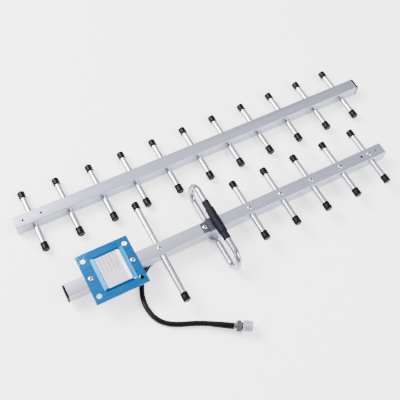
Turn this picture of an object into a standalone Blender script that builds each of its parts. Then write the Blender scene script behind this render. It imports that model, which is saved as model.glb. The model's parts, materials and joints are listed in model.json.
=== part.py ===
"""Two-piece yagi antenna: a rear half with reflector, folded dipole and lead, and a front half.

Both booms lie along X and the elements along Y. The rear boom passes through the loop of the
folded dipole, whose lower bar rests on the ground, and the front boom lies on the heads of its
element screws. The origin is under the middle of the two halves, at ground level.
"""
import math

import bmesh
import bpy
from mathutils import Matrix, Vector

# ---------------------------------------------------------------- driving dimensions, in metres
GAP = 0.0003                      # left between two pieces that touch
ROUND = 16                        # sides of a tube, a cap or a screw head

BOOM_SIDE = 0.020
BOOM_WALL = 0.0012
BOOM_CORNER = 0.0006
TUBE_RADIUS = 0.005
TUBE_WALL = 0.001
TUBE_UNDER_WALL = 0.0005          # between an element and the boom wall that it is screwed to

PITCH = 0.055                     # from one director to the next
FRONT_DIRECTORS = 11
REAR_DIRECTORS = 5
LONGEST_DIRECTOR = 0.109          # over its caps
DIRECTOR_STEP = 0.0002            # each director is this much shorter than the one behind it
REFLECTOR_LENGTH = 0.1736         # over its caps
REFLECTOR_TO_DIPOLE = 0.0895
DIPOLE_TO_DIRECTOR = 0.0600
REAR_TAIL = 0.143                 # from the rear end of the boom to the reflector
JOINT_OVERHANG = 0.0272           # from a joint end of a boom to its nearest director
TIP_OVERHANG = 0.0295             # from the last director to the tip of the front boom
HALF_SPACING = 0.1349             # between the axes of the two booms as they lie
HALF_STAGGER = 0.2925             # rear half's first director ahead of the front half's

CAP_LENGTH = 0.0125
CAP_WALL = 0.0006
CAP_END = 0.0015
CAP_CHAMFER = 0.0010

HEAD_RADIUS = 0.0036
HEAD_TOP_RADIUS = 0.0022
HEAD_HEIGHT = 0.0016
SHANK_RADIUS = 0.0016
SHANK_BELOW_WALL = 0.0022         # how far a screw reaches past the face of the boom wall or seat
JOINT_HOLE_RADIUS = 0.0020
JOINT_HOLE_OFFSET = 0.0140        # on each side of the director nearest to a joint end

DIPOLE_RADIUS = 0.005
DIPOLE_LENGTH = 0.153             # over the bends
DIPOLE_LEAN = 0.0045              # the upper bar stands this far ahead of the lower one
BEND_STEPS = 10
SLEEVE_LENGTH = 0.070
SLEEVE_THICK_LENGTH = 0.044
SLEEVE_WALL = 0.0006
SLEEVE_THICK_WALL = 0.0017
SLEEVE_TAPER = 0.002
SADDLE_FLOOR = 0.0009             # under the groove that the sleeve lies in
SADDLE_FLANGE = 0.0019
SADDLE_FLANGE_WIDTH = 0.016
SADDLE_HEIGHT = 0.0052
SADDLE_REAR = 0.021               # from the dipole's middle back to the end of the flange
SADDLE_BLOCK_REAR = 0.012
SADDLE_FRONT = 0.0085
SADDLE_SCREW = 0.016              # from the dipole's middle back to the saddle's screw

FEED_RADIUS = 0.0115
FEED_FORWARD = 0.0065             # feed boss in front of the boom's axis
COLLAR_RADIUS = 0.0046
COLLAR_REACH = 0.004
COLLAR_OFFSET = 0.0032            # cable entry behind the boss's middle

PLATE_SIDE = 0.080
PLATE_THICK = 0.002
PLATE_TO_TAIL = 0.0685            # plate's middle from the rear end of the boom
PLATE_HOLE_RADIUS = 0.00375
PLATE_HOLE_X = 0.032
PLATE_HOLE_Y = 0.029
PLATE_SCREW_X = 0.032
PANEL_FORWARD = 0.002             # pressed panel in front of the plate's middle
PANEL_LENGTH = 0.050              # of the panel at its foot
PANEL_WIDTH = 0.056
PANEL_RISE = 0.0022
PANEL_LEAN = (0.006, 0.0025)      # how far its ends and its sides lean in

CABLE_RADIUS = 0.004
NUT_RADIUS = 0.01025
NUT_LENGTH = 0.0134
NUT_BORE = 0.0082
NUT_CHAMFER = 0.0007
NUT_COLLAR = 0.002                # the inward collar at the rear of the nut
CONNECTOR_LENGTH = 0.0256
CONNECTOR_TURN = math.radians(-32.9)
FERRULE_RADIUS = 0.0052
FERRULE_LENGTH = 0.003
HEX_RADIUS = 0.0092
HEX_LENGTH = 0.0070
NECK_RADIUS = 0.0072
SHOULDER_LENGTH = 0.0016
BARREL_RADIUS = 0.0040
BARREL_BORE = 0.0032
BARREL_RECESS = 0.0050            # from the mouth of the nut back to the end of the barrel
PIN_RECESS = 0.0010               # from the end of the barrel back to the tip of the pin
PIN_RADIUS = 0.0008

# ---------------------------------------------------------------- places worked out from them
CAP_RADIUS = TUBE_RADIUS + GAP + CAP_WALL
HOLE_RADIUS = TUBE_RADIUS + GAP
ELEMENT_DROP = BOOM_WALL + TUBE_UNDER_WALL + TUBE_RADIUS

FRONT_BOOM_LENGTH = JOINT_OVERHANG + (FRONT_DIRECTORS - 1) * PITCH + TIP_OVERHANG
REAR_SPAN = REFLECTOR_TO_DIPOLE + DIPOLE_TO_DIRECTOR + (REAR_DIRECTORS - 1) * PITCH
REAR_BOOM_LENGTH = REAR_TAIL + REAR_SPAN + JOINT_OVERHANG
FRONT_X = JOINT_OVERHANG - FRONT_BOOM_LENGTH / 2
REAR_X = FRONT_X + HALF_STAGGER
LONGEST_FRONT = LONGEST_DIRECTOR - REAR_DIRECTORS * DIRECTOR_STEP
FRONT_Y = (HALF_SPACING + REFLECTOR_LENGTH / 2 - LONGEST_FRONT / 2) / 2
REAR_Y = FRONT_Y - HALF_SPACING

FRONT_BOTTOM = HEAD_HEIGHT + GAP
REAR_BOTTOM = 2 * DIPOLE_RADIUS + GAP
REAR_TOP = REAR_BOTTOM + BOOM_SIDE
FRONT_ELEMENT_Z = FRONT_BOTTOM + ELEMENT_DROP
REAR_ELEMENT_Z = REAR_TOP - ELEMENT_DROP

REFLECTOR_X = REAR_X - DIPOLE_TO_DIRECTOR - REFLECTOR_TO_DIPOLE
DIPOLE_X = REAR_X - DIPOLE_TO_DIRECTOR
REAR_END_X = REFLECTOR_X - REAR_TAIL
PLATE_X = REAR_END_X + PLATE_TO_TAIL

SADDLE_FOOT = REAR_TOP + GAP
SLEEVE_BORE = DIPOLE_RADIUS + GAP
SLEEVE_RADIUS = SLEEVE_BORE + SLEEVE_WALL
SLEEVE_THICK_RADIUS = SLEEVE_BORE + SLEEVE_THICK_WALL
LOWER_BAR = Vector((DIPOLE_X - DIPOLE_LEAN / 2, REAR_Y, DIPOLE_RADIUS))
UPPER_BAR = Vector((DIPOLE_X + DIPOLE_LEAN / 2, REAR_Y,
                    SADDLE_FOOT + SADDLE_FLOOR + GAP + SLEEVE_THICK_RADIUS))
FEED_CENTRE = Vector((LOWER_BAR.x, REAR_Y - FEED_FORWARD, 0))
CABLE_START = Vector((FEED_CENTRE.x - FEED_RADIUS - COLLAR_REACH - GAP,
                      FEED_CENTRE.y + COLLAR_OFFSET, COLLAR_RADIUS + GAP))
CONNECTOR_START = Vector((REFLECTOR_X + 0.0428, REAR_Y - 0.1445, NUT_RADIUS))
CONNECTOR_WAY = Vector((math.cos(CONNECTOR_TURN), math.sin(CONNECTOR_TURN), 0))

# The lead's route, as points on the ground relative to the reflector and the boom's axis.
CABLE_ROUTE = [
    (0.0450, -0.0025, 0.0044), (0.0150, -0.0005, 0.0042), (-0.0080, -0.0018, 0.0042),
    (-0.0254, -0.0085, 0.0042), (-0.0385, -0.0215, 0.0042), (-0.0470, -0.0370, 0.0042),
    (-0.0517, -0.0540, 0.0042), (-0.0515, -0.0700, 0.0042), (-0.0468, -0.0850, 0.0042),
    (-0.0375, -0.0965, 0.0042), (-0.0240, -0.1053, 0.0044), (-0.0050, -0.1140, 0.0053),
    (0.0120, -0.1235, 0.0072),
]
CABLE_POINTS = 46


# ---------------------------------------------------------------- tools
def material(name, colour, roughness, metallic):
    made = bpy.data.materials.new(name)
    made.use_nodes = True
    shader = made.node_tree.nodes["Principled BSDF"]
    shader.inputs["Base Color"].default_value = (*colour, 1.0)
    shader.inputs["Roughness"].default_value = roughness
    shader.inputs["Metallic"].default_value = metallic
    made.diffuse_color = (*colour, 1.0)
    return made


def mesh_from(shape, name):
    bmesh.ops.recalc_face_normals(shape, faces=shape.faces)
    mesh = bpy.data.meshes.new(name)
    shape.to_mesh(mesh)
    shape.free()
    return mesh


def place(name, mesh, finish, parent=None):
    """Make a node: its mesh is in world coordinates and its parent carries it."""
    mesh.name = name
    mesh.materials.clear()
    mesh.materials.append(finish)
    mesh.shade_smooth()
    mesh.set_sharp_from_angle(angle=math.radians(35))
    made = bpy.data.objects.new(name, mesh)
    bpy.context.collection.objects.link(made)
    if parent:
        made.parent = parent
        made.matrix_parent_inverse = parent.matrix_world.inverted()
    return made


def pivot(name, location, parent=None):
    made = bpy.data.objects.new(name, None)
    made.location = location
    bpy.context.collection.objects.link(made)
    if parent:
        made.parent = parent
    bpy.context.view_layer.update()
    return made


def evaluated(temporary):
    """Return the mesh that a temporary object shows, in world coordinates, and remove it."""
    bpy.context.view_layer.update()
    graph = bpy.context.evaluated_depsgraph_get()
    shown = temporary.evaluated_get(graph)
    mesh = bpy.data.meshes.new_from_object(shown)
    mesh.transform(temporary.matrix_world)
    bpy.data.objects.remove(temporary)
    return mesh


def combined(base, tool, operation):
    """Return the union or difference of two meshes."""
    base_object = bpy.data.objects.new("base", base)
    tool_object = bpy.data.objects.new("tool", tool)
    bpy.context.collection.objects.link(base_object)
    bpy.context.collection.objects.link(tool_object)
    cut = base_object.modifiers.new("cut", "BOOLEAN")
    cut.operation = operation
    cut.solver = "EXACT"
    cut.object = tool_object
    mesh = evaluated(base_object)
    bpy.data.objects.remove(tool_object)
    return mesh


def turned(profile, axis, at, sides=ROUND, closed=False):
    """Spin a profile of (distance along the axis, radius) points about a line through `at`."""
    shape = bmesh.new()
    side = axis.orthogonal().normalized()
    corners = [shape.verts.new(at + axis * along + side * radius) for along, radius in profile]
    pairs = list(zip(corners, corners[1:]))
    if closed:
        pairs.append((corners[-1], corners[0]))
    edges = [shape.edges.new(pair) for pair in pairs]
    bmesh.ops.spin(shape, geom=corners + edges, cent=at, axis=axis, angle=math.tau,
                   steps=sides, use_merge=True)
    bmesh.ops.remove_doubles(shape, verts=shape.verts, dist=1e-6)
    return mesh_from(shape, "turned")


def disc(radius, start, end, axis, at, sides=ROUND):
    return turned([(start, 0), (start, radius), (end, radius), (end, 0)], axis, at, sides)


def block(low, high):
    shape = bmesh.new()
    low, high = Vector(low), Vector(high)
    size = Matrix.Diagonal((*(high - low), 1))
    bmesh.ops.create_cube(shape, size=1, matrix=Matrix.Translation((low + high) / 2) @ size)
    return mesh_from(shape, "block")


def prism(outline, stops):
    """A solid drawn along X through a list of stops from a flat outline of (y, z) points."""
    shape = bmesh.new()
    rings = [[shape.verts.new((x, y, z)) for y, z in outline] for x in stops]
    shape.faces.new(rings[0])
    shape.faces.new(rings[-1])
    corners = list(range(len(outline)))
    for near, far in zip(rings, rings[1:]):
        for one, two in zip(corners, corners[1:] + corners[:1]):
            shape.faces.new((near[one], near[two], far[two], far[one]))
    return mesh_from(shape, "prism")


def frustum(centre, foot, length, width, rise, lean):
    """A low block whose ends and sides lean in over its rise."""
    shape = bmesh.new()
    rings = []
    for height, inset in ((foot, (0, 0)), (foot + rise, lean)):
        x, y = length / 2 - inset[0], width / 2 - inset[1]
        corners = ((-x, -y), (x, -y), (x, y), (-x, y))
        rings.append([shape.verts.new((centre.x + u, centre.y + v, height)) for u, v in corners])
    shape.faces.new(rings[0])
    shape.faces.new(rings[1])
    for one, two in zip(range(4), (1, 2, 3, 0)):
        shape.faces.new((rings[0][one], rings[0][two], rings[1][two], rings[1][one]))
    return mesh_from(shape, "frustum")


def merged(meshes):
    """Gather separate shapes into one mesh."""
    shape = bmesh.new()
    for mesh in meshes:
        shape.from_mesh(mesh)
    return mesh_from(shape, "merged")


def smooth_route(points, count):
    """Even points on a Catmull-Rom curve through the route's own points."""
    fine = []
    ends = [2 * points[0] - points[1]] + points + [2 * points[-1] - points[-2]]
    for before, start, end, after in zip(ends, ends[1:], ends[2:], ends[3:]):
        for step in range(20):
            t = step / 20
            fine.append(0.5 * (2 * start + (end - before) * t
                               + (2 * before - 5 * start + 4 * end - after) * t ** 2
                               + (3 * start - before - 3 * end + after) * t ** 3))
    fine.append(points[-1])
    reach = [0.0]
    for one, two in zip(fine, fine[1:]):
        reach.append(reach[-1] + (two - one).length)
    even = []
    index = 0
    for number in range(count):
        wanted = reach[-1] * number / (count - 1)
        while index < len(reach) - 2 and reach[index + 1] < wanted:
            index += 1
        share = (wanted - reach[index]) / (reach[index + 1] - reach[index])
        even.append(fine[index].lerp(fine[index + 1], share))
    return even


def bent_tube(points, radius, resolution, cyclic=False):
    curve = bpy.data.curves.new("tube", "CURVE")
    curve.dimensions = "3D"
    curve.bevel_depth = radius
    curve.bevel_resolution = resolution
    curve.use_fill_caps = not cyclic
    spline = curve.splines.new("POLY")
    spline.points.add(len(points) - 1)
    for knot, point in zip(spline.points, points):
        knot.co = (*point, 1)
    spline.use_cyclic_u = cyclic
    return curve


# ---------------------------------------------------------------- pieces
X, Y, Z = Vector((1, 0, 0)), Vector((0, 1, 0)), Vector((0, 0, 1))


def boom(start, length, y, bottom, holes):
    """A square tube along X, open at both ends, with its faces divided between its holes."""
    half = BOOM_SIDE / 2
    flat = half - BOOM_CORNER
    bore = half - BOOM_WALL
    middle = bottom + half
    outline = ((half, -flat), (half, flat), (flat, half), (-flat, half),
               (-half, flat), (-half, -flat), (-flat, -half), (flat, -half))
    hollow = ((bore, -bore), (bore, bore), (-bore, bore), (-bore, -bore))
    ordered = sorted(holes)
    divisions = [(one + two) / 2 for one, two in zip(ordered, ordered[1:])]
    outside = prism([(y + u, middle + v) for u, v in outline],
                    [start, *divisions, start + length])
    inside = prism([(y + u, middle + v) for u, v in hollow],
                   [start - BOOM_WALL, *divisions, start + length + BOOM_WALL])
    return combined(outside, inside, "DIFFERENCE")


def element_hole(x, y, z):
    return disc(HOLE_RADIUS, -BOOM_SIDE, BOOM_SIDE, Y, Vector((x, y, z)))


def upright_hole(x, y, low, high, radius):
    return disc(radius, low, high, Z, Vector((x, y, 0)), sides=12)


def screw(seat, way, depth):
    """A pan-head screw: its head stands up from the seat and its shank reaches down by a depth."""
    outline = [(-depth, 0), (-depth, SHANK_RADIUS), (0, SHANK_RADIUS), (0, HEAD_RADIUS),
               (HEAD_HEIGHT / 2, HEAD_RADIUS), (HEAD_HEIGHT, HEAD_TOP_RADIUS), (HEAD_HEIGHT, 0)]
    return turned(outline, way, seat, sides=12)


def element(x, y, z, length, screw_side):
    """A tube along Y with the pan-head screw that fixes it, through the boom wall above or below."""
    half = length / 2 - CAP_END - GAP
    inner = TUBE_RADIUS - TUBE_WALL
    wall = [(-half, TUBE_RADIUS), (half, TUBE_RADIUS), (half, inner), (-half, inner)]
    tube = turned(wall, Y, Vector((x, y, z)), closed=True)
    seat = Vector((x, y, z + screw_side * (ELEMENT_DROP + GAP)))
    return combined(tube, screw(seat, Z * screw_side, GAP + BOOM_WALL + SHANK_BELOW_WALL), "UNION")


def cap(x, y, z, length, side):
    """A cup pushed over the end of an element; side is +1 at the far end and -1 at the near one."""
    tip = length / 2
    mouth = tip - CAP_LENGTH
    floor = tip - CAP_END
    bore = TUBE_RADIUS + GAP
    outline = [(floor, 0), (floor, bore), (mouth, bore), (mouth, CAP_RADIUS),
               (tip - CAP_CHAMFER, CAP_RADIUS), (tip, CAP_RADIUS - CAP_CHAMFER), (tip, 0)]
    return turned(outline, Y * side, Vector((x, y, z)))


def director_length(number):
    """Length over its caps of a director, counted from the one next to the dipole as 0."""
    return LONGEST_DIRECTOR - number * DIRECTOR_STEP


def add_element(name, x, y, z, length, screw_side, metal, rubber, parent):
    place(name, element(x, y, z, length, screw_side), metal, parent)
    place(name + "_cap_far", cap(x, y, z, length, 1), rubber, parent)
    place(name + "_cap_near", cap(x, y, z, length, -1), rubber, parent)


def drilled(tube, across, upright):
    """Cut the holes that run across a boom, then the upright ones."""
    for tools in (across, upright):
        tube = combined(tube, merged(tools), "DIFFERENCE")
    return tube


def joint_places(x):
    """The two places where holes for joint bolts stand either side of an element."""
    return [x - JOINT_HOLE_OFFSET, x + JOINT_HOLE_OFFSET]


def joint_holes(x, y, bottom):
    return [upright_hole(place_x, y, bottom - GAP, bottom + BOOM_SIDE + GAP, JOINT_HOLE_RADIUS)
            for place_x in joint_places(x)]


def front_half(metal, tube_metal, rubber):
    carrier = pivot("front_half", (FRONT_X, FRONT_Y, 0))
    places = [FRONT_X + number * PITCH for number in range(FRONT_DIRECTORS)]
    tube = boom(FRONT_X - JOINT_OVERHANG, FRONT_BOOM_LENGTH, FRONT_Y, FRONT_BOTTOM,
                places + joint_places(FRONT_X))
    upright = [upright_hole(x, FRONT_Y, FRONT_BOTTOM - GAP, FRONT_BOTTOM + 2 * BOOM_WALL,
                            SHANK_RADIUS + GAP) for x in places]
    upright += joint_holes(FRONT_X, FRONT_Y, FRONT_BOTTOM)
    across = [element_hole(x, FRONT_Y, FRONT_ELEMENT_Z) for x in places]
    place("front_boom", drilled(tube, across, upright), metal, carrier)
    for number, x in enumerate(places):
        add_element(f"front_director_{number + 1:02d}", x, FRONT_Y, FRONT_ELEMENT_Z,
                    director_length(REAR_DIRECTORS + number), -1, tube_metal, rubber, carrier)


def rear_half(metal, tube_metal, rubber):
    places = [REAR_X + number * PITCH for number in range(REAR_DIRECTORS)]
    screwed = [REFLECTOR_X] + places
    screwed += [PLATE_X + side * PLATE_SCREW_X for side in (-1, 1)]
    screwed.append(DIPOLE_X - SADDLE_SCREW)
    tube = boom(REAR_END_X, REAR_BOOM_LENGTH, REAR_Y, REAR_BOTTOM,
                screwed + joint_places(places[-1]))
    upright = [upright_hole(x, REAR_Y, REAR_TOP - 2 * BOOM_WALL, REAR_TOP + GAP,
                            SHANK_RADIUS + GAP) for x in screwed]
    upright += joint_holes(places[-1], REAR_Y, REAR_BOTTOM)
    across = [element_hole(x, REAR_Y, REAR_ELEMENT_Z) for x in [REFLECTOR_X] + places]
    place("rear_boom", drilled(tube, across, upright), metal)
    add_element("reflector", REFLECTOR_X, REAR_Y, REAR_ELEMENT_Z, REFLECTOR_LENGTH, 1,
                tube_metal, rubber, None)
    for number, x in enumerate(places):
        add_element(f"rear_director_{number + 1}", x, REAR_Y, REAR_ELEMENT_Z,
                    director_length(number), 1, tube_metal, rubber, None)


def dipole_loop():
    """Centre line of the folded dipole: two bars and two half-round bends."""
    middle = (LOWER_BAR + UPPER_BAR) / 2
    up = (UPPER_BAR - LOWER_BAR) / 2
    reach = DIPOLE_LENGTH / 2 - DIPOLE_RADIUS - up.length
    points = []
    for side in (1, -1):
        for step in range(BEND_STEPS + 1):
            turn = math.pi * step / BEND_STEPS
            swing = up * math.cos(turn) * side + Y * up.length * math.sin(turn) * side
            points.append(middle + Y * reach * side + swing)
    return points


def folded_dipole(metal):
    """The loop and the round feed boss on its lower bar, with the collar that the lead enters."""
    line = bent_tube(dipole_loop(), DIPOLE_RADIUS, 2, cyclic=True)
    carrier = bpy.data.objects.new("loop", line)
    bpy.context.collection.objects.link(carrier)
    loop = evaluated(carrier)
    boss = disc(FEED_RADIUS, GAP, REAR_BOTTOM - GAP, Z, FEED_CENTRE, sides=24)
    collar = disc(COLLAR_RADIUS, GAP, FEED_RADIUS, X, CABLE_START)
    boss = combined(boss, collar, "UNION")
    place("folded_dipole", combined(loop, boss, "UNION"), metal)


def dipole_sleeve(plastic):
    thick, full = SLEEVE_THICK_LENGTH / 2, SLEEVE_LENGTH / 2
    profile = [(-full, SLEEVE_BORE), (-full, SLEEVE_RADIUS), (-thick - SLEEVE_TAPER, SLEEVE_RADIUS),
               (-thick, SLEEVE_THICK_RADIUS), (thick, SLEEVE_THICK_RADIUS),
               (thick + SLEEVE_TAPER, SLEEVE_RADIUS), (full, SLEEVE_RADIUS), (full, SLEEVE_BORE)]
    place("dipole_sleeve", turned(profile, Y, UPPER_BAR, closed=True), plastic)


def dipole_saddle(plastic):
    """The block on the boom's top that cradles the sleeve, with a flange and its one screw."""
    foot = SADDLE_FOOT
    half = BOOM_SIDE / 2
    flange = block((DIPOLE_X - SADDLE_REAR, REAR_Y - SADDLE_FLANGE_WIDTH / 2, foot),
                   (DIPOLE_X, REAR_Y + SADDLE_FLANGE_WIDTH / 2, foot + SADDLE_FLANGE))
    body = block((DIPOLE_X - SADDLE_BLOCK_REAR, REAR_Y - half, foot),
                 (DIPOLE_X + SADDLE_FRONT, REAR_Y + half, foot + SADDLE_HEIGHT))
    groove = disc(SLEEVE_THICK_RADIUS + GAP, -BOOM_SIDE, BOOM_SIDE, Y, UPPER_BAR)
    shape = combined(combined(flange, body, "UNION"), groove, "DIFFERENCE")
    seat = Vector((DIPOLE_X - SADDLE_SCREW, REAR_Y, foot + SADDLE_FLANGE))
    fixing = screw(seat, Z, SADDLE_FLANGE + SHANK_BELOW_WALL)
    place("dipole_saddle", combined(shape, fixing, "UNION"), plastic)


def mounting_plate(blue):
    """A square plate with a pressed panel, four bolt holes and the two screws that hold it."""
    centre = Vector((PLATE_X, REAR_Y, 0))
    foot = REAR_TOP + GAP
    top = foot + PLATE_THICK
    half = PLATE_SIDE / 2
    plate = block((centre.x - half, centre.y - half, foot), (centre.x + half, centre.y + half, top))
    middle = centre + X * PANEL_FORWARD
    plate = combined(plate, frustum(middle, top - GAP, PANEL_LENGTH, PANEL_WIDTH,
                                    PANEL_RISE + GAP, PANEL_LEAN), "UNION")
    inside = frustum(middle, foot - GAP, PANEL_LENGTH - PLATE_THICK, PANEL_WIDTH - PLATE_THICK,
                     PANEL_RISE + GAP, PANEL_LEAN)
    plate = combined(plate, inside, "DIFFERENCE")
    for across in (-1, 1):
        for along in (-1, 1):
            hole = upright_hole(centre.x + across * PLATE_HOLE_X, centre.y + along * PLATE_HOLE_Y,
                                foot - GAP, top + GAP, PLATE_HOLE_RADIUS)
            plate = combined(plate, hole, "DIFFERENCE")
        seat = Vector((centre.x + across * PLATE_SCREW_X, centre.y, top))
        fixing = screw(seat, Z, PLATE_THICK + SHANK_BELOW_WALL)
        plate = combined(plate, fixing, "UNION")
    place("mounting_plate", plate, blue)


def connector(nickel):
    """The plug on the lead's end: a body with hexagon, barrel and pin, and a free coupling nut."""
    nut_start = CONNECTOR_LENGTH - NUT_LENGTH
    shoulder = nut_start + NUT_COLLAR + GAP
    face = shoulder + SHOULDER_LENGTH
    barrel_end = CONNECTOR_LENGTH - BARREL_RECESS
    pin_end = barrel_end - PIN_RECESS
    outline = [(0, 0), (0, FERRULE_RADIUS), (FERRULE_LENGTH + GAP, FERRULE_RADIUS),
               (FERRULE_LENGTH + GAP, NECK_RADIUS), (shoulder, NECK_RADIUS),
               (shoulder, NUT_BORE - GAP), (face, NUT_BORE - GAP), (face, BARREL_RADIUS),
               (barrel_end, BARREL_RADIUS), (barrel_end, BARREL_BORE), (face, BARREL_BORE),
               (face, PIN_RADIUS), (pin_end, PIN_RADIUS), (pin_end + PIN_RADIUS, 0)]
    body = turned(outline, CONNECTOR_WAY, CONNECTOR_START, sides=24)
    flats = disc(HEX_RADIUS, FERRULE_LENGTH, FERRULE_LENGTH + HEX_LENGTH, CONNECTOR_WAY,
                 CONNECTOR_START, sides=6)
    place("connector_body", combined(body, flats, "UNION"), nickel)

    axis = pivot("coupling_nut_axis", CONNECTOR_START + CONNECTOR_WAY * nut_start)
    ring = [(nut_start, NECK_RADIUS + GAP), (nut_start, NUT_RADIUS - NUT_CHAMFER),
            (nut_start + NUT_CHAMFER, NUT_RADIUS), (CONNECTOR_LENGTH - NUT_CHAMFER, NUT_RADIUS),
            (CONNECTOR_LENGTH, NUT_RADIUS - NUT_CHAMFER), (CONNECTOR_LENGTH, NUT_BORE),
            (nut_start + NUT_COLLAR, NUT_BORE), (nut_start + NUT_COLLAR, NECK_RADIUS + GAP)]
    nut = turned(ring, CONNECTOR_WAY, CONNECTOR_START, sides=24, closed=True)
    place("coupling_nut", nut, nickel, axis)


def coax_cable(rubber):
    """The lead, from the collar on the feed boss to the plug, lying on the ground."""
    route = [CABLE_START, CABLE_START - X * 0.008]
    route += [Vector((REFLECTOR_X + x, REAR_Y + y, z)) for x, y, z in CABLE_ROUTE]
    end = CONNECTOR_START - CONNECTOR_WAY * GAP
    route += [end - CONNECTOR_WAY * 0.008, end]
    curve = bent_tube(smooth_route(route, CABLE_POINTS), CABLE_RADIUS, 3)
    curve.materials.append(rubber)
    lead = bpy.data.objects.new("coax_cable", curve)
    bpy.context.collection.objects.link(lead)


def main():
    for old in list(bpy.data.objects):
        bpy.data.objects.remove(old)
    boom_metal = material("boom_aluminium", (0.62, 0.62, 0.68), 0.42, 0.9)
    tube_metal = material("element_aluminium", (0.78, 0.78, 0.82), 0.25, 0.95)
    rubber = material("cap_rubber", (0.02, 0.02, 0.024), 0.5, 0.0)
    shrink = material("shrink_sleeve", (0.03, 0.03, 0.036), 0.6, 0.0)
    saddle = material("saddle_plastic", (0.08, 0.09, 0.11), 0.5, 0.0)
    blue = material("plate_film", (0.02, 0.15, 0.45), 0.35, 0.0)
    nickel = material("nickel_plate", (0.7, 0.69, 0.72), 0.25, 1.0)
    jacket = material("cable_jacket", (0.015, 0.015, 0.018), 0.45, 0.0)

    front_half(boom_metal, tube_metal, rubber)
    rear_half(boom_metal, tube_metal, rubber)
    folded_dipole(tube_metal)
    dipole_sleeve(shrink)
    dipole_saddle(saddle)
    mounting_plate(blue)
    connector(nickel)
    coax_cable(jacket)


main()
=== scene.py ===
# %% [markdown]
# # A yagi antenna in two halves
# This antenna is an aluminium boom with round rods across it. It is shown taken apart: the rear
# half, with its reflector, folded dipole and coax lead, lies beside the front half, which carries
# directors only. The frame gives every size and place, and this script makes the surfaces.

# %% Load the frame
import json
import math

import bmesh
import bpy
from mathutils import Matrix, Vector


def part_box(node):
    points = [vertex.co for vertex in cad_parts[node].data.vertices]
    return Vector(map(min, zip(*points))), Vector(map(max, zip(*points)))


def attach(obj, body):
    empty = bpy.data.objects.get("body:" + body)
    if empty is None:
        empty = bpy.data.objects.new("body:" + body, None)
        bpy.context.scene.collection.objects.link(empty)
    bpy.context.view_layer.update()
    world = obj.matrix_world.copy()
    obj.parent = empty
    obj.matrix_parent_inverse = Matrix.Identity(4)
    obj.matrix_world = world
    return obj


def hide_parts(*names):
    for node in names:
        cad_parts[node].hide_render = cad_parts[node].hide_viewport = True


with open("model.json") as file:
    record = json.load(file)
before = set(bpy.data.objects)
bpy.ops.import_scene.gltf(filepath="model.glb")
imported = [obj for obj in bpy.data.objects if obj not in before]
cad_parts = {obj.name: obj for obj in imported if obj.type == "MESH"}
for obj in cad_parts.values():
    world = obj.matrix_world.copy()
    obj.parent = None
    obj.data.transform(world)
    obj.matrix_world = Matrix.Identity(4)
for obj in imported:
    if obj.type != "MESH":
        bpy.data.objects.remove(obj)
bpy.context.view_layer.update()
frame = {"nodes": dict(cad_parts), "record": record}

X, Y, Z = Vector((1, 0, 0)), Vector((0, 1, 0)), Vector((0, 0, 1))
REAR, FRONT, NUT = "rear_half", "front_half", "coupling_nut"


def corners(node):
    """The lowest and highest corner of a frame node's box, as vectors."""
    low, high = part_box(node)
    return Vector(low), Vector(high)


def middle_of(node):
    """The middle of a frame node's box."""
    low, high = corners(node)
    return (low + high) / 2


# %% [markdown]
# ## Where it is seen from
# A long lens from well above keeps the edges of the two halves nearly parallel. The camera is set
# by a point on the ground that it looks at, its distance, and three angles, because these are
# easier to adjust one at a time than a rotation matrix.

# %% Camera
AIM = Vector((-0.0342, 0.0086, 0.0))
DISTANCE = 1.0214
AZIMUTH, ELEVATION, ROLL = math.radians(-32.93), math.radians(59.61), math.radians(5.53)
SENSOR = 36.0
LENS = 59.23

turn = Matrix.Rotation(AZIMUTH, 4, "Z") @ Matrix.Rotation(math.pi / 2 - ELEVATION, 4, "X")
turn = turn @ Matrix.Rotation(ROLL, 4, "Z")
lens = bpy.data.cameras.new("camera")
lens.lens, lens.sensor_width = LENS, SENSOR
camera = bpy.data.objects.new("camera", lens)
camera.matrix_world = Matrix.Translation(AIM) @ turn @ Matrix.Translation(Z * DISTANCE)
bpy.context.collection.objects.link(camera)
bpy.context.scene.camera = camera
print("camera at", [round(v, 3) for v in camera.matrix_world.translation])

# %% [markdown]
# ## Writing materials as sums
# A material here is a Principled BSDF with a few patterns in front of it. Wrapping a socket in a
# small class lets a mask be written as `1 - lines * 0.3`, and each sign adds the node it needs.

# %% Shader tools
NOISE_ROUGHNESS = 0.55


class Wire:
    """One output in a material, which can be added, multiplied and subtracted."""

    def __init__(self, paint, socket):
        self.paint, self.socket = paint, socket

    def maths(self, operation, *values):
        return self.paint.node("ShaderNodeMath", {"operation": operation},
                               dict(enumerate(values)))

    def __add__(self, other):
        return self.maths("ADD", self, other)

    def __mul__(self, other):
        return self.maths("MULTIPLY", self, other)

    def __sub__(self, other):
        return self.maths("SUBTRACT", self, other)

    def __rsub__(self, other):
        return self.maths("SUBTRACT", other, self)

    __radd__, __rmul__ = __add__, __mul__

    def between(self, none, full):
        """0 at one value, 1 at the other, and smooth between them, whichever is larger."""
        return self.paint.node("ShaderNodeMapRange", {"interpolation_type": "SMOOTHSTEP"},
                               {"Value": self, "From Min": none, "From Max": full})

    def stripe(self, centre, half, blur):
        """1 within half a width of a centre, fading to 0 over a blur on either side."""
        away = self.maths("ABSOLUTE", self - centre)
        return away.between(half + blur, half)


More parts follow.
